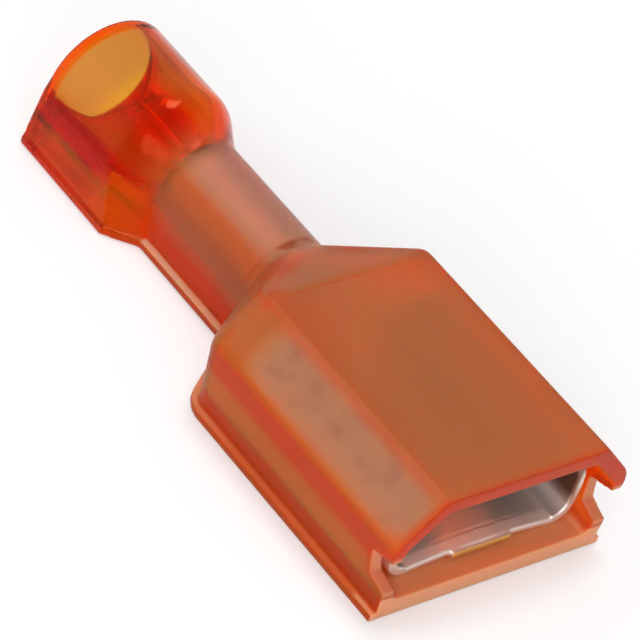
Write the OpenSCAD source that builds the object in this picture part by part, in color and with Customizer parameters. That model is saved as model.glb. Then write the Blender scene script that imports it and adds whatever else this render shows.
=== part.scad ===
// Fully insulated female spade terminal: a moulded nylon housing over a folded brass receptacle.
// Millimetres. The mouth faces -Y, the wire leaves along +Y, and the flat base lies on Z = 0.

/* [Mating tab and wire] */
// Width of the flat tab that plugs into the mouth
tab_width = 6.35; // [4.8:0.05:8]
// Thickness of that tab
tab_thickness = 0.81; // [0.5:0.01:1]
// Bore of the wire barrel, for the bare strands
wire_bore = 1.6; // [1.2:0.05:2]
// Largest insulation that the funnel takes
insulation_bore = 3.8; // [3.4:0.1:4.8]

/* [Brass strip] */
// Thickness of the strip
strip = 0.32; // [0.25:0.01:0.4]
// Play between the tab and each side curl
tab_play = 0.155; // [0.05:0.005:0.3]
// How much the slot is tighter than the tab
grip = 0.1; // [0:0.01:0.2]
// Height over the rolled curls
curl_height = 2.9; // [2.4:0.05:3.5]
// Outer radius of the rolled top of a curl
curl_radius = 1.35; // [1.1:0.05:1.45]
// How far the curls' edges are cut back at the mouth, to let the tab in
curl_cut = 1.2; // [0.6:0.1:2]
// Outer radius of the bend between floor and curl
bend_radius = 0.75; // [0.5:0.05:0.9]
// Rise of the springy floor at its middle
crown = 0.2; // [0.05:0.01:0.3]
// Bevelled lead-in at the front edge of the floor
lead_in = 0.45; // [0.2:0.05:0.8]
// Drop of that lead-in
lead_drop = 0.12; // [0.05:0.01:0.2]
// Width of the cut-off stub at the front edge
stub_width = 2.3; // [1.5:0.1:3]
// How far the stub sticks out
stub_reach = 0.14; // [0.05:0.01:0.3]
// Radius of the detent dimple in the floor
dimple_radius = 0.75; // [0.5:0.05:1]
// Height of the dimple
dimple_height = 0.2; // [0.1:0.01:0.25]
// Length of the waist between curls and barrel
waist_length = 2.4; // [2:0.1:3.5]
// How far the barrel reaches out of the neck, towards the mouth
barrel_reach = 0.86; // [0.75:0.02:1.5]
// Gap left along the barrel's seam
seam = 0.06; // [0.03:0.01:0.15]

/* [Nylon body] */
// Thickness of the base plate
base = 0.65; // [0.4:0.05:1]
// Thickness of the side walls
side_wall = 0.45; // [0.3:0.05:0.8]
// Thickness of the roof and shoulders
roof = 0.54; // [0.35:0.01:0.8]
// Clearance beside the curls
side_gap = 0.2; // [0.1:0.05:0.4]
// Clearance over the curls
roof_gap = 0.33; // [0.15:0.01:0.6]
// Lean of each side wall, outward at the shoulder
flare = 0.24; // [0:0.02:0.4]
// Rise of the shoulder facets from the horizontal, in degrees
shoulder_angle = 45.6; // [40:0.1:52]
// Clearance between curls and shoulders
shoulder_gap = 0.25; // [0.15:0.01:0.5]
// Distance from the mouth to where the sides turn in
body_length = 9.35; // [8.6:0.05:12]
// Length of the taper from there to the neck
taper_length = 1.85; // [1.6:0.05:3]
// Radius of the bends between sides and shoulders
shoulder_round = 0.9; // [0.3:0.05:1]
// Radius of the edges along the roof
ridge_round = 0.15; // [0.05:0.05:0.4]
// Radius of the bends inside the body
inner_round = 0.5; // [0.2:0.05:0.5]
// Radius of the soft edge round the back of the body
back_round = 0.7; // [0.4:0.05:1.2]
// How much more the foot of the walls turns in at that edge than their shoulders do
tuck = 0.9; // [0:0.1:1.5]
// Setback of the strip behind the mouth
mouth_depth = 0.74; // [0.4:0.02:1.5]

/* [Mouth notches] */
// Depth of the notch at its floor
notch_depth = 0.74; // [0.4:0.02:1]
// Lean of the notch's back, deeper at the ceiling
notch_lean = 0.16; // [0:0.02:0.3]
// Height of the notch's floor at the wall's front tip
notch_low = 1.1; // [0.9:0.05:1.3]
// Rise of the notch's floor towards the back
notch_rise = 0.24; // [0:0.02:0.4]
// Height of the notch's ceiling at the back
notch_high = 2.16; // [1.8:0.02:2.6]
// Rise of the ceiling towards the front
horn_rise = 0.17; // [0:0.01:0.3]
// Radius of the notch's inner corners
notch_round = 0.1; // [0.05:0.01:0.15]

/* [Neck and funnel] */
// Least nylon left under the wire funnel
funnel_floor = 0.22; // [0.2:0.01:0.6]
// Clearance round the barrel
barrel_gap = 0.04; // [0.02:0.01:0.1]
// Wall of the neck
neck_wall = 0.39; // [0.3:0.01:0.6]
// Length of the neck
neck_length = 5.1; // [3.5:0.05:7]
// Wall of the funnel
bell_wall = 0.38; // [0.3:0.01:0.6]
// Radius of the funnel's outer rim
rim_round = 0.18; // [0.05:0.01:0.25]
// Length of the step from neck to funnel
flare_length = 1.3; // [0.9:0.05:2]
// Radius of the step's bend at the neck
neck_bend = 0.5; // [0.1:0.05:0.6]
// Radius of the step's bend at the funnel
funnel_bend = 1.2; // [0.3:0.1:1.3]
// Length of the funnel's straight part
bell_length = 3.95; // [3:0.05:6]
// Length of the narrow throat behind the barrel
throat_length = 0.3; // [0.2:0.05:0.6]
// Overlap of the throat on the barrel's end face
throat_lip = 0.12; // [0.06:0.01:0.16]

/* [Base flange] */
// How far the flange stands out from the walls
flange = 0.22; // [0.1:0.02:0.4]
// Radius of the flange's corners at the back of the body
flange_round = 1.3; // [1:0.1:2]
// Thickness of the flange
flange_thickness = 0.28; // [0.15:0.01:0.35]
// How far the foot of the funnel stands out from the funnel on each side
foot = 0.38; // [0.25:0.01:0.6]
// How far the funnel's sides stand out from its round at the height of its axis
swell = 0.12; // [0.02:0.01:0.16]
// Height over the axis at which those sides leave the round
swell_rise = 0.5; // [0.2:0.05:0.8]
// How far ahead of the neck's end the flange starts to widen
flange_lead = 0.35; // [0:0.05:0.8]
// Length of the flange's widening from neck to funnel
flange_step = 0.95; // [0.6:0.05:1.5]
// Radius of the flange's bends along the neck
flange_bend = 0.3; // [0.1:0.05:0.4]
// Radius of the flange's corners at the funnel
foot_round = 0.15; // [0.05:0.05:0.3]

/* [Hidden] */
$fn = 96;
// Overshoot of a cut past the face it opens
over = 1;
// Depth by which joined shapes bite into each other
bite = 0.05;
// Thickness of a slice that a hull starts from
thin = 0.01;
// Steps of a rounded corner in an outline
steps = 7;

// Strip
strip_half = tab_width / 2 + tab_play + strip;
slot = tab_thickness - grip;
curl_x = strip_half - curl_radius;
curl_z = base + curl_height - curl_radius;
curl_end_angle = asin((curl_height - curl_radius - strip - slot) / (curl_radius - strip / 2));
barrel_r = wire_bore / 2 + strip;

// Body
body_height = base + curl_height + roof_gap + roof;
wall_x = strip_half + side_gap + side_wall;
shoulder_x = wall_x + flare;
shoulder_reach = curl_radius + shoulder_gap + roof;
shoulder_level = sin(shoulder_angle) * curl_x + cos(shoulder_angle) * curl_z + shoulder_reach;
shoulder_z = (shoulder_level - sin(shoulder_angle) * shoulder_x) / cos(shoulder_angle);
ridge_x = (shoulder_level - cos(shoulder_angle) * body_height) / sin(shoulder_angle);

// Neck, funnel and lengths, measured from the mouth
bore_r = barrel_r + barrel_gap;
neck_r = bore_r + neck_wall;
bell_r = insulation_bore / 2 + bell_wall;
axis_height = max(insulation_bore / 2 + funnel_floor, base + barrel_r);
neck_start = body_length + taper_length;
neck_end = neck_start + neck_length;
bell_start = neck_end + flare_length;
overall = bell_start + bell_length;
taper_angle = atan((wall_x - neck_r) / taper_length);
back_start = body_length - back_round * tan(taper_angle / 2);
foot_start = neck_end - flange_lead;

// Strip, measured from the mouth
strip_front = mouth_depth;
barrel_end = neck_end;
barrel_front = neck_start - barrel_reach;
curl_back = barrel_front - waist_length;

// Point list for an arc, angles in degrees
function arc(centre, r, a, b, n) =
    [for (i = [0:n]) centre + r * [cos(a + (b - a) * i / n), sin(a + (b - a) * i / n)]];

function unit(v) = v / norm(v);

// Rounded version of corner p between its neighbours, tangent to both edges
function rounded(before, p, after, r) =
    let (u = unit(before - p), w = unit(after - p), half = acos(u * w) / 2)
    r <= 0 || half > 89 ? [p] :
    let (
        centre = p + unit(u + w) * r / sin(half),
        first = p + u * r / tan(half) - centre,
        last = p + w * r / tan(half) - centre,
        a = atan2(first[1], first[0]),
        turn = atan2(last[1], last[0]) - a,
        sweep = turn > 180 ? turn - 360 : turn < -180 ? turn + 360 : turn
    )
    arc(centre, r, a, a + sweep, steps);

// Outline whose corners are given as [x, y, radius]
function outline(corners) =
    let (n = len(corners), p = [for (c = corners) [c[0], c[1]]])
    [for (i = [0:n - 1]) each rounded(p[(i + n - 1) % n], p[i], p[(i + 1) % n], corners[i][2])];

// Corners on the right side, followed by the same ones mirrored to the left
function both_sides(right) =
    concat(right, [for (i = [len(right) - 1:-1:0]) [-right[i][0], right[i][1], right[i][2]]]);

// Half outline of neck and funnel, as [radius, distance from the mouth]
function tube_profile() =
    outline([
        [0, neck_start - bite, 0],
        [neck_r, neck_start - bite, 0],
        [neck_r, neck_end, neck_bend],
        [bell_r, bell_start, funnel_bend],
        [bell_r, overall, rim_round],
        [0, overall, 0]
    ]);

// Cross-section of the body, inset from the outside, between two heights, its foot tucked in further
function body_section(inset, tucked, bottom, top, ridge, shoulder) =
    let (
        reach = shoulder_level - inset,
        out = shoulder_x - inset * side_wall / roof,
        out_z = (reach - sin(shoulder_angle) * out) / cos(shoulder_angle),
        top_x = (reach - cos(shoulder_angle) * top) / sin(shoulder_angle)
    )
    outline(both_sides([
        [out - flare - tucked, bottom, inset > 0 ? bend_radius / 2 : 0],
        [out, out_z, shoulder],
        [top_x, top, ridge]
    ]));

// Prism with its outline in X and Z, running along Y
module along_y(from, to) {
    translate([0, to, 0])
        rotate([90, 0, 0])
            linear_extrude(height = to - from)
                children();
}

// Outline of the neck where the body runs into it: an arch on straight legs, or a full circle
module neck_section(r, legs) {
    translate([0, axis_height])
        circle(r = r, $fn = 64);
    if (legs)
        translate([-r, 0])
            square([2 * r, axis_height]);
}

// Body form: straight section, then a soft back edge that runs down to the neck
module body_form(inset, bottom, ridge, shoulder) {
    back = back_round - inset / 2;
    along_y(-over, back_start)
        polygon(body_section(inset, 0, bottom, body_height - inset, ridge, shoulder));
    hull() {
        for (turn = [0:15:75]) {
            drop = back * (1 - cos(turn));
            along_y(back_start + back * sin(turn) - thin, back_start + back * sin(turn))
                polygon(body_section(inset + drop, tuck * drop, bottom, body_height - inset - drop,
                    ridge, shoulder));
        }
        along_y(neck_start - inset - thin, neck_start - inset)
            neck_section(inset > 0 ? bore_r : neck_r, inset == 0);
    }
}

// Neck and funnel: round above the axis, straight-sided below it
module tube_form() {
    translate([0, 0, axis_height])
        rotate([-90, 0, 0])
            rotate([0, 0, 180])
                rotate_extrude(angle = 180)
                    polygon(tube_profile());
    for (side = [0, 1])
        mirror([side, 0, 0])
            linear_extrude(height = axis_height)
                polygon(tube_profile());
}

// Thin slice through the funnel at a height, with half widths for the neck and for the funnel
module funnel_slice(height, neck_half, funnel_half) {
    translate([0, 0, height - thin])
        linear_extrude(height = thin)
            polygon(outline(both_sides([
                [neck_half, neck_end, 0],
                [funnel_half, bell_start, 0],
                [funnel_half, overall, rim_round]
            ])));
}

// Sides of the funnel from its round down to the flange, leaning out
module funnel_foot() {
    hull() {
        funnel_slice(axis_height + swell_rise,
            sqrt(neck_r * neck_r - swell_rise * swell_rise),
            sqrt(bell_r * bell_r - swell_rise * swell_rise));
        funnel_slice(axis_height, neck_r, bell_r + swell);
        linear_extrude(height = flange_thickness - thin)
            polygon(outline(both_sides([
                [neck_r + flange - bite, foot_start, 0],
                [bell_r + foot - bite, foot_start + flange_step, 0],
                [bell_r + foot - bite, overall, 0]
            ])));
    }
}

// Thin flange that follows the plan of the whole housing
module base_flange() {
    shift = flange * tan(taper_angle / 2);
    linear_extrude(height = flange_thickness)
        polygon(outline(both_sides([
            [wall_x + flange, 0, 0],
            [wall_x + flange, body_length + shift, flange_round],
            [neck_r + flange, neck_start + shift, flange_bend],
            [neck_r + flange, foot_start, flange_bend],
            [bell_r + foot, foot_start + flange_step, foot_round],
            [bell_r + foot, overall, 0]
        ])));
}

// Round inside: barrel bore, throat and wire funnel, turned about the barrel's axis
module wire_passage() {
    throat_r = barrel_r - throat_lip;
    throat_end = barrel_end + throat_length;
    funnel_r = insulation_bore / 2;
    funnel_start = bell_start + throat_length;
    translate([0, 0, axis_height])
        rotate([-90, 0, 0])
            rotate_extrude()
                polygon(concat(
                    [
                        [0, curl_back],
                        [bore_r, curl_back],
                        [bore_r, barrel_end],
                        [throat_r, barrel_end]
                    ],
                    rounded([throat_r, barrel_end], [throat_r, throat_end],
                        [funnel_r, funnel_start], neck_bend / 2),
                    rounded([throat_r, throat_end], [funnel_r, funnel_start],
                        [funnel_r, overall], funnel_bend - bell_wall),
                    [
                        [funnel_r, overall + over],
                        [0, overall + over]
                    ]
                ));
}

// Cut-outs in the front ends of the two side walls
module mouth_notches() {
    rotate([90, 0, 90])
        linear_extrude(height = 4 * shoulder_x, center = true)
            polygon(outline([
                [-over, notch_low - notch_rise * over / notch_depth, 0],
                [0, notch_low, 0],
                [notch_depth, notch_low + notch_rise, notch_round],
                [notch_depth + notch_lean, notch_high, notch_round],
                [-over, notch_high + horn_rise * (1 + over / notch_depth), 0]
            ]));
}

module housing() {
    color("orangered")
        translate([0, -overall / 2, 0])
            difference() {
                union() {
                    difference() {
                        body_form(0, 0, ridge_round, shoulder_round);
                        along_y(-2 * over, 0)
                            square([4 * shoulder_x, 4 * body_height], center = true);
                    }
                    tube_form();
                    funnel_foot();
                    base_flange();
                }
                body_form(roof, base, inner_round, inner_round);
                wire_passage();
                mouth_notches();
            }
}

// Arc of the crowned floor on the right side, from the middle to the bend, raised by the amount given
function floor_arc(raise) =
    let (
        half = strip_half - bend_radius,
        r = (half * half + crown * crown) / (2 * crown),
        span = asin(half / r)
    )
    arc([0, crown - r + raise], r, 90, 90 - span, steps);

// Section of floor and one rolled curl, on the right side
function curl_section() =
    let (
        bend = [strip_half - bend_radius, bend_radius],
        roll = [curl_x, curl_height - curl_radius],
        tip = 180 + curl_end_angle,
        top = floor_arc(strip)
    )
    concat(
        floor_arc(0),
        arc(bend, bend_radius, -90, 0, steps),
        arc(roll, curl_radius, 0, tip, 3 * steps),
        arc(roll, curl_radius - strip, tip, 0, 3 * steps),
        arc(bend, bend_radius - strip, 0, -90, steps),
        [for (i = [len(top) - 1:-1:0]) top[i]]
    );

// What the coined lead-in takes off the front edge of the floor
module lead_in_cut() {
    reach = lead_in / cos(atan(lead_drop / lead_in));
    top = floor_arc(strip);
    difference() {
        translate([-top[steps][0], strip_front - over, -over])
            cube([2 * top[steps][0], over + lead_in, over + strip + crown + bite]);
        translate([0, strip_front + lead_in, 0])
            rotate([atan(lead_drop / lead_in), 0, 0])
                along_y(-reach - 2 * over, bite)
                    polygon(concat(
                        [[-top[steps][0], -2 * over]],
                        [for (i = [steps:-1:1]) [-top[i][0], top[i][1]]],
                        top,
                        [[top[steps][0], -2 * over]]
                    ));
    }
}

// What the tab's way in takes off the curls: all of their inner half at the front, none of it further back
module curl_lead_in() {
    low = strip + crown + slot / 2;
    rotate([90, 0, 90])
        linear_extrude(height = 2 * curl_x, center = true)
            polygon([
                [strip_front - over, low],
                [strip_front + curl_cut, low],
                [strip_front, curl_height],
                [strip_front, curl_height + over],
                [strip_front - over, curl_height + over]
            ]);
}

// Round bump or hollow of the detent dimple
module dimple(height) {
    ball = (dimple_radius * dimple_radius + dimple_height * dimple_height) / (2 * dimple_height);
    intersection() {
        translate([0, 0, height + dimple_height - ball])
            sphere(r = ball);
        translate([0, 0, height - dimple_height])
            cylinder(r = dimple_radius, h = 3 * dimple_height);
    }
}

// Floor and curls, with the bevelled front edge, the cut-off stub and the dimple
module receptacle() {
    dimple_y = (strip_front + curl_back) / 2;
    difference() {
        union() {
            for (side = [0, 1])
                mirror([side, 0, 0])
                    along_y(strip_front, curl_back)
                        polygon(curl_section());
            translate([-stub_width / 2, strip_front - stub_reach, crown - bite / 2])
                cube([stub_width, stub_reach + lead_in / 2, strip - lead_drop]);
            translate([0, dimple_y, 0])
                dimple(strip + crown);
        }
        lead_in_cut();
        curl_lead_in();
        translate([0, dimple_y, 0])
            dimple(crown);
    }
}

// Solid under the waist: from the width of the floor to the roundness of the barrel
module waist_form(inset) {
    rise = axis_height - base;
    half = strip_half - inset;
    hull() {
        along_y(curl_back - bite - inset, curl_back)
            polygon(outline([
                [half, curl_radius, 0],
                [half, inset, bend_radius - inset],
                [-half, inset, bend_radius - inset],
                [-half, curl_radius, 0]
            ]));
        translate([0, barrel_front + inset + bite, rise])
            rotate([90, 0, 0])
                cylinder(r = barrel_r - inset, h = waist_length / 4 + inset, $fn = 48);
    }
}

// Open trough between the curls and the barrel
module waist() {
    rise = axis_height - base;
    difference() {
        waist_form(0);
        waist_form(strip);
        rotate([90, 0, 90])
            linear_extrude(height = 4 * strip_half, center = true)
                polygon([
                    [curl_back - over, curl_radius],
                    [curl_back, curl_radius],
                    [barrel_front - waist_length / 4, rise],
                    [barrel_front + over, rise],
                    [barrel_front + over, 3 * curl_height],
                    [curl_back - over, 3 * curl_height]
                ]);
    }
}

// Rolled wire barrel with its seam on top
module wire_barrel() {
    translate([0, barrel_end, axis_height - base])
        rotate([90, 0, 0])
            difference() {
                cylinder(r = barrel_r, h = barrel_end - barrel_front);
                translate([0, 0, -over])
                    cylinder(r = wire_bore / 2, h = barrel_end - barrel_front + 2 * over);
                translate([-seam / 2, 0, -over])
                    cube([seam, 2 * barrel_r, barrel_end - barrel_front + 2 * over]);
            }
}

module terminal() {
    color("silver")
        translate([0, -overall / 2, base]) {
            receptacle();
            waist();
            wire_barrel();
        }
}

housing();
terminal();
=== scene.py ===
"""Looks of the fully insulated female spade terminal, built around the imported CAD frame.

The mouth faces -Y, the wire leaves along +Y, and the flat base lies on Z = 0. The scene is in metres;
the places and sizes named below are in mm, unless they say otherwise.
"""
import math

import bpy
from mathutils import Matrix, Vector
from mathutils.bvhtree import BVHTree


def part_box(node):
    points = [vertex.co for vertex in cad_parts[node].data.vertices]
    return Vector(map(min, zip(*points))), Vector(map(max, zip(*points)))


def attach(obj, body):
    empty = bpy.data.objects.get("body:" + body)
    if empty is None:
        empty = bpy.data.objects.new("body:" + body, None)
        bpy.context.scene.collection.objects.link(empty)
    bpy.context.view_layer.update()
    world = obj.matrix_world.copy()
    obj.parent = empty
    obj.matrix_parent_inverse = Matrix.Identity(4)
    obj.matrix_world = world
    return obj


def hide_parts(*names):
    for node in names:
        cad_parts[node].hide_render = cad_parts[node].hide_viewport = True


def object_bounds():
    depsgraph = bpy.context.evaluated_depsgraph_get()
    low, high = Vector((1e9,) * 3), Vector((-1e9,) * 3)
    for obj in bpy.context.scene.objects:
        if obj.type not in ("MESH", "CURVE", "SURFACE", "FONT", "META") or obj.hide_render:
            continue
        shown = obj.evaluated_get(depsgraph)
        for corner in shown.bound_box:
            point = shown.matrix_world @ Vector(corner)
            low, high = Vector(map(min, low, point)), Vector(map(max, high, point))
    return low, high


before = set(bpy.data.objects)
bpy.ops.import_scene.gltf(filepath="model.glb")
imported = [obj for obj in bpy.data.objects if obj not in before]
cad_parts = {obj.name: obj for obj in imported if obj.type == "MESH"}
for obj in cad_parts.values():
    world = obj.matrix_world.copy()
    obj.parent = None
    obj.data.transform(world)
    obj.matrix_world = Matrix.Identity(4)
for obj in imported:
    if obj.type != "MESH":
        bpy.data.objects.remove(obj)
cad_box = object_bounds()

MM = 0.001

# ---------------------------------------------------------------- colours and finish
# Nylon. A tint is what the wall lets through and scatters back; clearness is the share it lets through.
# Deep in any thick part
THICK_TINT = (0.95, 0.08, 0.01, 1)
THICK_CLEARNESS = 0.6
# Frosted body: its top, its sides with their painted shading, its deep lines, and the greyish bands over the
# metal's curls, a painted reflection of the metal behind the wall
BODY_TINT = (0.90, 0.45, 0.15, 1)
SIDE_PAINTED_SHADING_TINT = (0.93, 0.40, 0.07, 1)
DEEP_TINT = (0.93, 0.16, 0.02, 1)
CURL_PAINTED_REFLECTION_TINT = (0.54, 0.32, 0.18, 1)
CURL_REFLECTION_BLOTCH_TINT = (0.42, 0.23, 0.15, 1)
BODY_CLEARNESS = 0.75
CURL_CLEARNESS = 0.4
BODY_ROUGHNESS = 0.4
# Neck: over the barrel's top a pale tint that paints the barrel's glint, the tint at its sides, and the
# broken rings of painted shade at the barrel's ends
NECK_PAINTED_GLINT_TINT = (0.95, 1.0, 0.74, 1)
NECK_SIDE_TINT = (0.86, 0.50, 0.20, 1)
RING_PAINTED_SHADE = (0.30, 0.16, 0.12, 1)
NECK_CLEARNESS = 0.85
NECK_ROUGHNESS = 0.4
# Clear funnel: near its rim, towards its throat, and where it is thick
FUNNEL_TINT = (0.70, 0.57, 0.46, 1)
THROAT_TINT = (0.92, 0.85, 0.20, 1)
FUNNEL_THICK_TINT = (1.0, 0.20, 0.001, 1)
FUNNEL_THICK_CLEARNESS = 0.72
FUNNEL_CLEARNESS = 1.0
FUNNEL_ROUGHNESS = 0.09
# Pale faces: painted light on the floor in front of the mouth and on its front edge, a painted highlight
# along the flange's top, and the rough cut wall ends, partly painted light they catch
PAINTED_LIGHT_FLOOR_TINT = (0.86, 0.34, 0.15, 1)
PAINTED_LIGHT_FLOOR_FRONT_TINT = (0.84, 0.36, 0.19, 1)
CUT_FACE_AND_HIGHLIGHT_TINT = (0.78, 0.42, 0.27, 1)
PALE_CLEARNESS = 0.15
# The same all over the nylon
REFLECTION_TINT = (1.0, 0.3, 0.1, 1)
ABSORPTION = (0.985, 0.70, 0.083, 1)
ABSORPTION_DENSITY = 6000.0
SCATTER_RADIUS = (1.0, 0.30, 0.10)
SCATTER_SCALE = 0.5 * MM
NYLON_IOR = 1.36
SPECULAR_LEVEL = 0.5

# Tin plate: its two tones, the floor's colour with painted light, the inside's colour with painted shade,
# and the brass under it
TIN_DARK = (0.70, 0.58, 0.50, 1)
TIN_LIGHT = (0.80, 0.69, 0.61, 1)
TIN_FLOOR_PAINTED_LIGHT = (0.84, 0.74, 0.68, 1)
TIN_INSIDE_PAINTED_SHADE = (0.25, 0.12, 0.08, 1)
BARE_BRASS = (0.72, 0.42, 0.11, 1)
TIN_METALLIC = 0.94
TIN_FLOOR_METALLIC = 0.75
TIN_ROUGHNESS = 0.42
TIN_ROUGHER = 0.48

# ---------------------------------------------------------------- where the looks change, in mm
# Y is along the part, Z up from the base, OUT the distance from the middle plane, and DEPTH in from the
# piece's front face or, for the rim, in from the funnel's end. Three numbers are a zone: from, to, and
# the width over which it fades on each side. Two are the start and the end of a gradual change.
# The flange's top carries a painted highlight, fainter towards the front and fading out at the funnel
FLANGE_Z = (0.16, 0.34, 0.06)
FLANGE_PALER_Y = (-4.0, 1.0)
FLANGE_END_Y = (5.5, 6.2)
# The wall ends by the mouth are rough cut faces, made pale partly as painted light they catch
WALL_END_DEPTH = (-1.0, 1.05, 0.1)
WALL_END_Z = (1.0, 2.5, 0.1)
WALL_END_OUT = (3.5, 3.7)
# The floor in front of the mouth gets painted light, in place of the light that shines up through it
FLOOR_DEPTH = (-1.0, 0.9, 0.1)
FLOOR_Z = (-0.1, 0.8, 0.1)
# Faces this far out at the sides get painted shading
SIDE_OUT = (3.6, 3.8)
UNDER_SHOULDER_Z = (2.0, 2.55, 0.35)
WALL_FOOT_Z = (0.3, 0.8, 0.3)
ROOF_FRONT_Z = (2.3, 2.5)
JUNCTION_Y = (-0.5, 0.4, 0.5)
JUNCTION_OUT = (1.3, 2.4, 0.5)
# Where the body gets its painted reflection of the metal's curls
CURL_OUT = (1.9, 2.4)
CURL_END_Y = (-3.6, -2.4)
NECK_START_Y = (-0.5, 1.5)
# Broken rings of painted shade at the barrel's two ends
FRONT_RING_Y = (0.45, 0.7, 0.12)
REAR_RING_Y = (5.25, 5.5, 0.12)
FUNNEL_START_Y = (4.5, 6.5)
THROAT_TO_RIM_Y = (7.6, 9.0)
RIM_DEPTH = (0.42, 0.3)
# The metal at the mouth: painted light on its floor, painted shade on its inside above the floor
METAL_MOUTH_Y = (-1.5, -2.5)
METAL_FLOOR_Z = (1.25, 1.5)
METAL_INSIDE_Z = (1.3, 1.8)
METAL_INSIDE_OUT = (3.38, 3.48)
BARE_CUT_DEPTH = (0.04, 0.08)

# How far a face has to turn up, sideways or to the front for a look to start, from 0 to 1 (-1 is front)
FLANGE_UP = (0.3, 0.8)
PALE_SIDEWAYS = (0.5, 0.8)
# Faces turned this far sideways get the body's painted shading
SIDE_SIDEWAYS = (0.75, 0.92)
JUNCTION_UP = (0.1, 0.4)
# Faces turned up this far, but not flat, get the curls' painted reflection
CURL_UP = (0.15, 0.5)
CURL_TOO_FLAT = (0.88, 0.97)
# Faces turned this far up over the barrel get the neck's painted glint
OVER_BARREL_UP = (0.6, 0.85)
NYLON_TO_FRONT = (-0.8, -0.4)
CUT_TO_FRONT = (-0.5, -0.2)

# How strong a look gets
FLANGE_FRONT_STRENGTH = 0.25
WALL_END_STRENGTH = 0.6
JUNCTION_STRENGTH = 0.6
BLOTCH_STRENGTH = 0.8
RIM_STRENGTH = 0.7

# Noise: the size of its blobs in mm, and the levels between which it shows
BLOTCH_SIZE = 0.8
BLOTCH_LEVELS = (0.5, 0.75)
RING_BREAK_SIZE = 0.9
RING_BREAK_LEVELS = (0.45, 0.6)
CLOUD_SIZE = 1.2
GRAIN_SIZE = 0.12
GRAIN_LEVELS = (0.3, 0.7)
ROLLING_STRETCH = (1.0, 0.12, 1.0)

# Bumps: blob size and height in mm
NYLON_WAVE_SIZE = 1.6
NYLON_WAVE_HEIGHT = 0.05
GRAIN_HEIGHT = 0.01
BUMP_STRENGTH = 0.1

# Attributes measured on the nylon's mesh: how much lies under each vertex in mm, how near an outer edge
# it is, from 0 to 1, and how far it is from the metal in mm
THICKNESS = "thickness"
EDGE = "edge"
METAL_DISTANCE = "metal_distance"
# Thickness: where the wall starts to look thick and where it fully does, the most that is measured, how
# far the outer rays lean, and how far under the surface the rays start
WALL_THICKNESS = (0.55, 1.6)
THICKNESS_LIMIT = 2.5
THICKNESS_LEAN = math.tan(math.radians(35))
START_DEPTH = 0.02
# Edges: how wide the edge's look is, how deep under the surface it is measured, and its strength
EDGE_WIDTH = 0.35
EDGE_DEPTH = 0.12
EDGE_RAYS = 8
EDGE_STRENGTH = 0.8
# The metal shows fully at the first distance and not at all at the second
METAL_SHOWS = (0.85, 1.25)

# ---------------------------------------------------------------- meshes, in mm
WELD_DISTANCE = 0.0005
SMOOTHING = 0.5
TURNED_PASSES = 60
HOUSING_MESH = {"voxel": 0.05, "passes": 5, "triangles": 190000}
TERMINAL_MESH = {"voxel": 0.04, "passes": 3, "triangles": 150000}
# Limits of the turned zones: a little outside the part's own radii, and clear of its rims and ends
AXIS_HEIGHT = 2.12
FOOT_TOP = 0.6
FUNNEL_RADIUS = 2.45
FUNNEL_Y = (5.8, 10.35)
NECK_RADIUS = 1.75
NECK_Y = (0.8, 5.8)
BARREL_RADIUS = 1.3
BARREL_Y = (-0.2, 5.4)
SEAM_OUT = 0.25

# ---------------------------------------------------------------- studio
# Camera: azimuth, elevation and roll in degrees, distance and target in mm, and focal length
CAMERA_ANGLES = (-50.10, 38.72, 20.89)
CAMERA_DISTANCE = 115.34
CAMERA_TARGET = (0.352, -0.994, 1.751)
CAMERA_LENS = 213.05

# Surroundings: the light they give, and how bright they look to the rays that show them
WORLD_LIGHT = 0.42
WORLD_SEEN = 0.6
# Floor: its side in metres, and how far it lies under the part in mm
FLOOR_SIZE = 1.0
FLOOR_GAP = 0.02
FLOOR_COLOUR = (0.65, 0.65, 0.65, 1)
FLOOR_GLOW = 0.36

# Lamps: their distance in metres; then name, azimuth and elevation in degrees, size in metres, watts
LAMP_DISTANCE = 0.3
LAMPS = (
    ("key", 140, 80, 0.10, 0.36),
    ("fill", -128, 20, 0.25, 0.18),
    ("front", -45, 14, 0.25, 0.72),
)


# ---------------------------------------------------------------- node helpers


def new_material(name):
    """An empty node material, with its tree and its output node."""
    material = bpy.data.materials.new(name)
    material.use_nodes = True
    tree = material.node_tree
    tree.nodes.clear()
    output = tree.nodes.new("ShaderNodeOutputMaterial")
    return material, tree, output


def add(tree, kind, inputs=None, **settings):
    """A node of that kind; inputs are constants or the sockets that feed them."""
    node = tree.nodes.new(kind)
    for key, value in settings.items():
        setattr(node, key, value)
    for key, value in (inputs or {}).items():
        if isinstance(value, bpy.types.NodeSocket):
            tree.links.new(value, node.inputs[key])
        else:
            node.inputs[key].default_value = value
    return node


def noise(tree, coordinates, size, detail):
    """Noise whose blobs are about size mm across."""
    node = add(tree, "ShaderNodeTexNoise", {
        "Vector": coordinates,
        "Scale": 1 / (size * MM),
        "Detail": detail,
    })
    return node.outputs["Fac"]


def split(tree, vector):
    """The X, Y and Z of a vector."""
    return add(tree, "ShaderNodeSeparateXYZ", {"Vector": vector}).outputs[:3]


def attribute(tree, name):
    """A value that was measured on the mesh."""
    return add(tree, "ShaderNodeAttribute", attribute_name=name).outputs["Fac"]


def size_of(tree, value):
    """A value without its sign."""
    return add(tree, "ShaderNodeMath", {0: value}, operation="ABSOLUTE").outputs[0]


def larger(tree, first, *others):
    """The largest of several values."""
    result = first
    for value in others:
        result = add(tree, "ShaderNodeMath", {0: result, 1: value}, operation="MAXIMUM").outputs[0]
    return result


def multiply(tree, first, *others):
    """The product of several values."""
    result = first
    for value in others:
        result = add(tree, "ShaderNodeMath", {0: result, 1: value}, operation="MULTIPLY").outputs[0]
    return result


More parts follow.
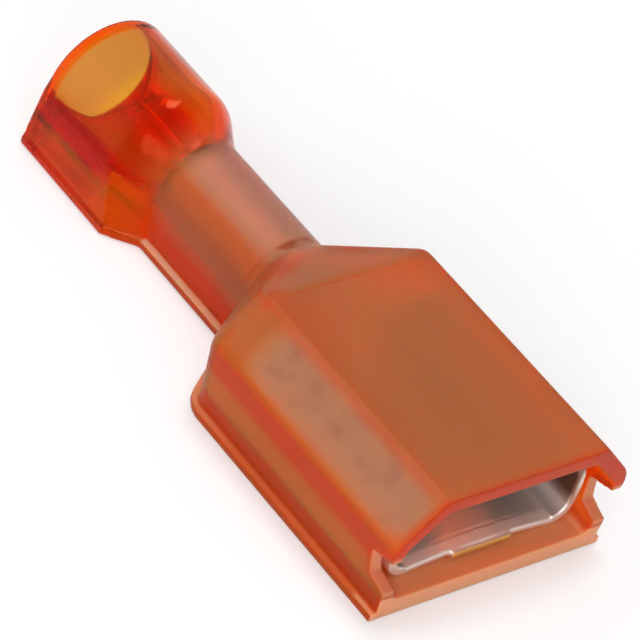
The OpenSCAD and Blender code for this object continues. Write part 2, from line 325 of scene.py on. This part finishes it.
def mix(tree, factor, first, second):
    """A blend of two colours; a Mix node's colour sockets are its inputs 6 and 7 and its output 2."""
    node = add(tree, "ShaderNodeMix", {0: factor, 6: first, 7: second}, data_type="RGBA")
    return node.outputs[2]


def mix_value(tree, factor, first, second):
    """A blend of two values; a Mix node's value sockets are its inputs 2 and 3 and its output 0."""
    node = add(tree, "ShaderNodeMix", {0: factor, 2: first, 3: second}, data_type="FLOAT")
    return node.outputs[0]


def remap(tree, value, from_low, from_high, to_low=0.0, to_high=1.0, kind="LINEAR"):
    """A change of range, clamped."""
    node = add(tree, "ShaderNodeMapRange", {
        "Value": value,
        "From Min": from_low,
        "From Max": from_high,
        "To Min": to_low,
        "To Max": to_high,
    }, interpolation_type=kind)
    return node.outputs["Result"]


def ramp(tree, place, start, end, to_low=0.0, to_high=1.0, kind="LINEAR"):
    """A change of range along a coordinate, with its start and end in mm."""
    return remap(tree, place, start * MM, end * MM, to_low, to_high, kind)


def window(tree, place, low, high, soft, origin=0.0):
    """1 where a coordinate lies from low to high mm past the origin, falling to 0 over soft mm each side."""
    low += origin
    high += origin
    rise = ramp(tree, place, low - soft, low)
    fall = ramp(tree, place, high, high + soft, 1.0, 0.0)
    return multiply(tree, rise, fall)


# ---------------------------------------------------------------- materials


def pale_faces(tree, y, z, out, nz, faces_side, faces_front):
    """Where the nylon looks pale, and its tint there: painted light on the floor in front of the mouth, a
    painted highlight along the flange's top, and the rough cut wall ends, partly painted light.
    """
    front = cad_box[0][1] / MM
    # painted highlight along the flange's top
    flange_top = multiply(
        tree,
        window(tree, z, *FLANGE_Z),
        remap(tree, nz, *FLANGE_UP),
        ramp(tree, y, *FLANGE_PALER_Y, FLANGE_FRONT_STRENGTH, 1.0),
        ramp(tree, y, *FLANGE_END_Y, 1.0, 0.0),
    )
    # rough cut wall ends by the mouth, made pale partly as painted light
    wall_ends = multiply(
        tree,
        window(tree, y, *WALL_END_DEPTH, origin=front),
        window(tree, z, *WALL_END_Z),
        ramp(tree, out, *WALL_END_OUT),
        remap(tree, faces_side, *PALE_SIDEWAYS, WALL_END_STRENGTH, 0.0),
    )
    # painted light: the floor in front of the mouth is made pale and cloudy, in place of the light that
    # shines up through it
    mouth_floor = multiply(
        tree,
        window(tree, y, *FLOOR_DEPTH, origin=front),
        window(tree, z, *FLOOR_Z),
        remap(tree, faces_side, *PALE_SIDEWAYS, 1.0, 0.0),
    )
    # the flange's painted highlight together with the pale cut wall ends
    cut_faces_and_highlight = larger(tree, flange_top, wall_ends)
    # painted light: the floor's top and front faces get their own tints, which even out their shading
    floor_tint = mix(tree, faces_front, PAINTED_LIGHT_FLOOR_TINT, PAINTED_LIGHT_FLOOR_FRONT_TINT)
    return larger(tree, cut_faces_and_highlight, mouth_floor), mix(tree, cut_faces_and_highlight, floor_tint, CUT_FACE_AND_HIGHLIGHT_TINT)


def curl_bands(tree, y, out, nz):
    """Where the metal's curls lie close behind the body's shoulders, which get a painted reflection of that
    metal.
    """
    return multiply(
        tree,
        remap(tree, attribute(tree, METAL_DISTANCE), *METAL_SHOWS, 1.0, 0.0),
        remap(tree, nz, *CURL_UP),
        remap(tree, nz, *CURL_TOO_FLAT, 1.0, 0.0),
        ramp(tree, out, *CURL_OUT),
        ramp(tree, y, *CURL_END_Y, 1.0, 0.0, "SMOOTHSTEP"),
    )


def body_colour(tree, place, y, z, out, nz, faces_side, faces_front, curl):
    """The body's tint: its top, its sides with painted shading, the bands over the curls with a painted
    reflection of the metal, and the deep red lines.
    """
    # painted shading: faces turned sideways, out at the sides, get a deeper tint with less whitish veil
    side = multiply(tree, remap(tree, faces_side, *SIDE_SIDEWAYS), ramp(tree, out, *SIDE_OUT))
    under_shoulder = multiply(tree, side, window(tree, z, *UNDER_SHOULDER_Z))
    wall_foot = multiply(tree, faces_side, window(tree, z, *WALL_FOOT_Z))
    roof_front = multiply(tree, faces_front, ramp(tree, z, *ROOF_FRONT_Z))
    junction = multiply(
        tree,
        window(tree, y, *JUNCTION_Y),
        window(tree, out, *JUNCTION_OUT),
        remap(tree, nz, *JUNCTION_UP, 0.0, JUNCTION_STRENGTH),
    )
    deep = larger(tree, under_shoulder, wall_foot, roof_front, junction)
    blotches = noise(tree, place, BLOTCH_SIZE, detail=2)
    blotches = remap(tree, blotches, *BLOTCH_LEVELS, 0.0, BLOTCH_STRENGTH)
    # painted reflection of the metal's curls: greyish tints with random blotches
    curl_tint = mix(tree, blotches, CURL_PAINTED_REFLECTION_TINT, CURL_REFLECTION_BLOTCH_TINT)
    tint = mix(tree, curl, mix(tree, side, BODY_TINT, SIDE_PAINTED_SHADING_TINT), curl_tint)
    return mix(tree, deep, tint, DEEP_TINT)


def neck_colour(tree, place, y, nz):
    """The neck's tint: pale over the barrel's top as a painted glint, with broken dark rings of painted
    shade at the barrel's ends.
    """
    rings = larger(tree, window(tree, y, *REAR_RING_Y), window(tree, y, *FRONT_RING_Y))
    broken = remap(tree, noise(tree, place, RING_BREAK_SIZE, detail=1), *RING_BREAK_LEVELS)
    # painted glint: faces turned up over the barrel's top get the pale tint
    tint = mix(tree, remap(tree, nz, *OVER_BARREL_UP), NECK_SIDE_TINT, NECK_PAINTED_GLINT_TINT)
    # painted shade: broken dark rings at the barrel's ends
    return mix(tree, multiply(tree, rings, broken), tint, RING_PAINTED_SHADE)


def nylon_material():
    """Translucent orange-red nylon: frosted round the body, clear and glossy at the funnel."""
    material, tree, output = new_material("orange_nylon")
    coordinates = add(tree, "ShaderNodeTexCoord")
    place = coordinates.outputs["Object"]
    x, y, z = split(tree, place)
    nx, ny, nz = split(tree, coordinates.outputs["Normal"])
    out = size_of(tree, x)
    faces_side = size_of(tree, nx)
    faces_front = remap(tree, ny, *NYLON_TO_FRONT, 1.0, 0.0)

    to_neck = ramp(tree, y, *NECK_START_Y, kind="SMOOTHSTEP")
    to_funnel = ramp(tree, y, *FUNNEL_START_Y, kind="SMOOTHSTEP")
    to_rim = ramp(tree, y, *THROAT_TO_RIM_Y, kind="SMOOTHSTEP")

    def along(body, neck, funnel):
        """A value with one level at the body, one at the neck and one at the funnel."""
        return mix_value(tree, to_funnel, mix_value(tree, to_neck, body, neck), funnel)

    # how thick the nylon counts as: the wall's measured thickness, the funnel's rim, or an outer edge
    back = cad_box[1][1] / MM
    rim = ramp(tree, y, back - RIM_DEPTH[0], back - RIM_DEPTH[1], 0.0, RIM_STRENGTH)
    thick = larger(
        tree,
        remap(tree, attribute(tree, THICKNESS), *WALL_THICKNESS),
        rim,
        remap(tree, attribute(tree, EDGE), 0.0, 1.0, 0.0, EDGE_STRENGTH),
    )
    # the clear funnel takes its deep colour before it turns cloudy
    deep_first = mix_value(tree, to_funnel, thick, remap(tree, thick, 0.0, 0.5))
    cloudy_last = mix_value(tree, to_funnel, thick, remap(tree, thick, 0.5, 1.0))

    curl = curl_bands(tree, y, out, nz)
    body_tint = body_colour(tree, place, y, z, out, nz, faces_side, faces_front, curl)
    neck_tint = neck_colour(tree, place, y, nz)
    funnel_tint = mix(tree, to_rim, THROAT_TINT, FUNNEL_TINT)
    thin_tint = mix(tree, to_funnel, mix(tree, to_neck, body_tint, neck_tint), funnel_tint)
    thick_tint = mix(tree, to_funnel, THICK_TINT, FUNNEL_THICK_TINT)
    tint = mix(tree, deep_first, thin_tint, thick_tint)

    body_clearness = remap(tree, curl, 0.0, 1.0, BODY_CLEARNESS, CURL_CLEARNESS)
    clearness = mix_value(
        tree,
        cloudy_last,
        along(body_clearness, NECK_CLEARNESS, FUNNEL_CLEARNESS),
        along(THICK_CLEARNESS, THICK_CLEARNESS, FUNNEL_THICK_CLEARNESS),
    )
    pale, pale_tint = pale_faces(tree, y, z, out, nz, faces_side, faces_front)
    bump = add(tree, "ShaderNodeBump", {
        "Height": noise(tree, place, NYLON_WAVE_SIZE, detail=1),
        "Strength": BUMP_STRENGTH,
        "Distance": NYLON_WAVE_HEIGHT * MM,
    })
    shader = add(tree, "ShaderNodeBsdfPrincipled", {
        "Base Color": mix(tree, pale, tint, pale_tint),
        "Roughness": along(BODY_ROUGHNESS, NECK_ROUGHNESS, FUNNEL_ROUGHNESS),
        "IOR": NYLON_IOR,
        "Specular IOR Level": SPECULAR_LEVEL,
        "Transmission Weight": multiply(tree, clearness, remap(tree, pale, 0.0, 1.0, 1.0, PALE_CLEARNESS)),
        "Subsurface Weight": 1.0,
        "Subsurface Radius": SCATTER_RADIUS,
        "Subsurface Scale": SCATTER_SCALE,
        "Specular Tint": REFLECTION_TINT,
        "Normal": bump.outputs["Normal"],
    })
    tree.links.new(shader.outputs["BSDF"], output.inputs["Surface"])
    absorb = add(tree, "ShaderNodeVolumeAbsorption", {
        "Color": ABSORPTION,
        "Density": ABSORPTION_DENSITY,
    })
    tree.links.new(absorb.outputs["Volume"], output.inputs["Volume"])
    return material


def tinned_material():
    """Tin-plated brass strip with faint rolling marks, bare brass where the stub was cut off, painted light
    on the floor at the mouth and painted shade on the inside above it.
    """
    material, tree, output = new_material("tinned_brass")
    coordinates = add(tree, "ShaderNodeTexCoord")
    place = coordinates.outputs["Object"]
    x, y, z = split(tree, place)
    faces_y = split(tree, coordinates.outputs["Normal"])[1]
    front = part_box("terminal")[0][1] / MM
    marks = add(tree, "ShaderNodeMapping", {"Vector": place, "Scale": ROLLING_STRETCH})
    grain = noise(tree, marks.outputs["Vector"], GRAIN_SIZE, detail=3)
    cut = multiply(
        tree,
        ramp(tree, y, front + BARE_CUT_DEPTH[0], front + BARE_CUT_DEPTH[1], 1.0, 0.0),
        remap(tree, faces_y, *CUT_TO_FRONT, 1.0, 0.0),
    )
    at_mouth = ramp(tree, y, *METAL_MOUTH_Y)
    # painted light: the floor at the mouth is lighter and less metallic
    floor = multiply(tree, at_mouth, ramp(tree, z, *METAL_FLOOR_Z, 1.0, 0.0))
    # painted shade: the inside above the floor at the mouth is darker
    inside = multiply(
        tree,
        at_mouth,
        ramp(tree, z, *METAL_INSIDE_Z),
        ramp(tree, size_of(tree, x), *METAL_INSIDE_OUT, 1.0, 0.0),
    )
    tin = mix(tree, noise(tree, place, CLOUD_SIZE, detail=2), TIN_DARK, TIN_LIGHT)
    tin = mix(tree, floor, tin, TIN_FLOOR_PAINTED_LIGHT)
    tin = mix(tree, inside, tin, TIN_INSIDE_PAINTED_SHADE)
    bump = add(tree, "ShaderNodeBump", {
        "Height": grain,
        "Strength": BUMP_STRENGTH,
        "Distance": GRAIN_HEIGHT * MM,
    })
    shader = add(tree, "ShaderNodeBsdfPrincipled", {
        "Base Color": mix(tree, cut, tin, BARE_BRASS),
        "Metallic": mix_value(tree, floor, TIN_METALLIC, TIN_FLOOR_METALLIC),
        "Roughness": remap(tree, grain, *GRAIN_LEVELS, TIN_ROUGHNESS, TIN_ROUGHER),
        "Normal": bump.outputs["Normal"],
    })
    tree.links.new(shader.outputs["BSDF"], output.inputs["Surface"])
    return material


# ---------------------------------------------------------------- meshes


def apply_modifiers(piece):
    """Bakes the piece's modifiers into its mesh."""
    graph = bpy.context.evaluated_depsgraph_get()
    mesh = bpy.data.meshes.new_from_object(piece.evaluated_get(graph))
    piece.modifiers.clear()
    piece.data = mesh


def add_smoothing(piece, passes):
    """A Smooth modifier with that many steps."""
    smooth = piece.modifiers.new("smooth", "SMOOTH")
    smooth.factor = SMOOTHING
    smooth.iterations = passes
    return smooth


def softened(node, name, is_round, voxel, passes, triangles):
    """A copy of a CAD node as one smooth mesh, its sharp edges rounded off.

    voxel is the remesh size in mm, passes the smoothing steps, triangles the most to keep. Where
    is_round(x, y, z) holds, in mm, the surface is turned, and its flats are smoothed out as well.
    """
    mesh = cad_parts[node].data.copy()
    mesh.materials.clear()
    mesh.transform(Matrix.Scale(1 / MM, 4))
    piece = bpy.data.objects.new(name, mesh)
    bpy.context.scene.collection.objects.link(piece)
    weld = piece.modifiers.new("weld", "WELD")
    weld.merge_threshold = WELD_DISTANCE
    remesh = piece.modifiers.new("remesh", "REMESH")
    remesh.mode = "VOXEL"
    remesh.voxel_size = voxel
    add_smoothing(piece, passes)
    apply_modifiers(piece)
    turned = piece.vertex_groups.new(name="turned")
    turned.add([v.index for v in piece.data.vertices if is_round(*v.co)], 1.0, "REPLACE")
    add_smoothing(piece, TURNED_PASSES).vertex_group = "turned"
    apply_modifiers(piece)
    count = sum(len(p.vertices) - 2 for p in piece.data.polygons)
    decimate = piece.modifiers.new("decimate", "DECIMATE")
    decimate.ratio = min(1, triangles / count)
    apply_modifiers(piece)
    piece.data.transform(Matrix.Scale(MM, 4))
    piece.data.shade_smooth()
    return piece


def ray_tree(mesh):
    """A search tree over a mesh's faces."""
    return BVHTree.FromPolygons([v.co for v in mesh.vertices], [p.vertices for p in mesh.polygons])


def inward_axes(vertex):
    """The direction into the material at a vertex, and two directions along its surface."""
    inward = -vertex.normal
    side = inward.orthogonal().normalized()
    return inward, side, inward.cross(side)


def write_attribute(mesh, name, values):
    """Stores one value for each vertex, for the material to read."""
    layer = mesh.attributes.new(name, "FLOAT", "POINT")
    layer.data.foreach_set("value", values)


def measure_thickness(mesh):
    """Writes how much material lies under each vertex, in mm, up to the limit that counts.

    It is the mean over a ray straight in and four that lean outward.
    """
    limit = THICKNESS_LIMIT * MM
    tree = ray_tree(mesh)
    depths = []
    for vertex in mesh.vertices:
        inward, side, other = inward_axes(vertex)
        start = vertex.co + inward * START_DEPTH * MM
        offsets = (Vector(), side, -side, other, -other)
        total = 0
        for offset in offsets:
            hit = tree.ray_cast(start, (inward + offset * THICKNESS_LEAN).normalized(), limit)
            total += limit if hit[0] is None else hit[3]
        depths.append(total / len(offsets) / MM)
    write_attribute(mesh, THICKNESS, depths)


def measure_edges(mesh):
    """Writes how near each vertex is to an outer edge: 1 at the edge, 0 from EDGE_WIDTH away.

    Rays run a little under the surface, all ways round; near an edge one of them soon comes out.
    """
    width = EDGE_WIDTH * MM
    tree = ray_tree(mesh)
    angles = [2 * math.pi * k / EDGE_RAYS for k in range(EDGE_RAYS)]
    levels = []
    for vertex in mesh.vertices:
        inward, side, other = inward_axes(vertex)
        start = vertex.co + inward * EDGE_DEPTH * MM
        nearest = width
        for angle in angles:
            hit = tree.ray_cast(start, side * math.cos(angle) + other * math.sin(angle), width)
            if hit[0] is not None:
                nearest = min(nearest, hit[3])
        levels.append(1 - nearest / width)
    write_attribute(mesh, EDGE, levels)


def measure_metal(mesh, metal):
    """Writes each vertex's distance from the metal's mesh, in mm."""
    tree = ray_tree(metal)
    write_attribute(mesh, METAL_DISTANCE, [tree.find_nearest(v.co)[3] / MM for v in mesh.vertices])


# ---------------------------------------------------------------- pieces


def in_nylon_tube(x, y, z):
    """Inside the funnel's or the neck's tube, clear of the rim and of the foot under them."""
    radius = math.hypot(x, z - AXIS_HEIGHT)
    funnel = radius < FUNNEL_RADIUS and FUNNEL_Y[0] < y < FUNNEL_Y[1]
    neck = radius < NECK_RADIUS and NECK_Y[0] < y <= NECK_Y[1]
    return z > FOOT_TOP and (funnel or neck)


def in_barrel(x, y, z):
    """On the wire barrel, clear of its seam and of its ends."""
    radius = math.hypot(x, z - AXIS_HEIGHT)
    seam = abs(x) < SEAM_OUT and z > AXIS_HEIGHT
    return radius < BARREL_RADIUS and BARREL_Y[0] < y < BARREL_Y[1] and not seam


def make_terminal():
    """The folded and rolled metal strip."""
    piece = softened("terminal", "brass_terminal", in_barrel, **TERMINAL_MESH)
    piece.data.materials.append(tinned_material())
    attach(piece, "root")
    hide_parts("terminal")
    return piece


def make_housing(terminal):
    """The moulded nylon housing; its bands, a painted reflection of the terminal's metal, show where that
    metal lies behind the wall.
    """
    piece = softened("housing", "nylon_housing", in_nylon_tube, **HOUSING_MESH)
    measure_metal(piece.data, terminal.data)
    measure_thickness(piece.data)
    measure_edges(piece.data)
    piece.data.materials.append(nylon_material())
    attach(piece, "root")
    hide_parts("housing")


# ---------------------------------------------------------------- camera, floor and light


def direction(azimuth, elevation):
    """The direction from the object to a camera or a lamp, from its angles in degrees."""
    azimuth = math.radians(azimuth)
    elevation = math.radians(elevation)
    return Vector((
        math.sin(azimuth) * math.cos(elevation),
        -math.cos(azimuth) * math.cos(elevation),
        math.sin(elevation),
    ))


def make_camera():
    """The photograph's view: from the mouth's left, above, with the object rolled in the frame."""
    azimuth, elevation, roll = CAMERA_ANGLES
    back = direction(azimuth, elevation)
    camera = bpy.data.objects.new("camera", bpy.data.cameras.new("camera"))
    bpy.context.scene.collection.objects.link(camera)
    camera.data.lens = CAMERA_LENS
    camera.data.clip_start = 1 * MM
    camera.location = (Vector(CAMERA_TARGET) + back * CAMERA_DISTANCE) * MM
    facing = (-back).to_track_quat("-Z", "Y").to_matrix()
    turned = facing @ Matrix.Rotation(math.radians(roll), 3, "Z")
    camera.rotation_mode = "QUATERNION"
    camera.rotation_quaternion = turned.to_quaternion()
    bpy.context.scene.camera = camera


def seen_rays(tree):
    """1 for the rays that show the background: straight from the camera, off metal and through glass."""
    path = add(tree, "ShaderNodeLightPath")
    return larger(
        tree,
        path.outputs["Is Camera Ray"],
        path.outputs["Is Glossy Ray"],
        path.outputs["Is Transmission Ray"],
    )


def make_floor():
    """Pale floor: white to the camera apart from the object's shadow."""
    bpy.ops.mesh.primitive_plane_add(size=FLOOR_SIZE, location=(0, 0, -FLOOR_GAP * MM))
    floor = bpy.context.object
    floor.name = "floor"
    material, tree, output = new_material("pale_floor")
    diffuse = add(tree, "ShaderNodeBsdfDiffuse", {"Color": FLOOR_COLOUR})
    glow = add(tree, "ShaderNodeEmission", {"Strength": multiply(tree, seen_rays(tree), FLOOR_GLOW)})
    both = add(tree, "ShaderNodeAddShader", {0: diffuse.outputs[0], 1: glow.outputs[0]})
    tree.links.new(both.outputs[0], output.inputs["Surface"])
    floor.data.materials.append(material)


def make_world():
    """White surroundings that light the object softly from all round."""
    world = bpy.data.worlds.new("studio")
    world.use_nodes = True
    tree = world.node_tree
    background = tree.nodes["Background"]
    background.inputs["Color"].default_value = (1, 1, 1, 1)
    strength = remap(tree, seen_rays(tree), 0.0, 1.0, WORLD_LIGHT, WORLD_SEEN)
    tree.links.new(strength, background.inputs["Strength"])
    bpy.context.scene.world = world


def add_lamp(name, azimuth, elevation, size, power):
    """An area lamp that faces the object from that direction."""
    lamp = bpy.data.objects.new(name, bpy.data.lights.new(name, "AREA"))
    bpy.context.scene.collection.objects.link(lamp)
    back = direction(azimuth, elevation)
    lamp.location = back * LAMP_DISTANCE
    lamp.rotation_euler = (-back).to_track_quat("-Z", "Y").to_euler()
    lamp.data.size = size
    lamp.data.energy = power


make_housing(make_terminal())
make_world()
make_floor()
make_camera()
for lamp_values in LAMPS:
    add_lamp(*lamp_values)
bpy.context.scene.view_settings.view_transform = "Standard"
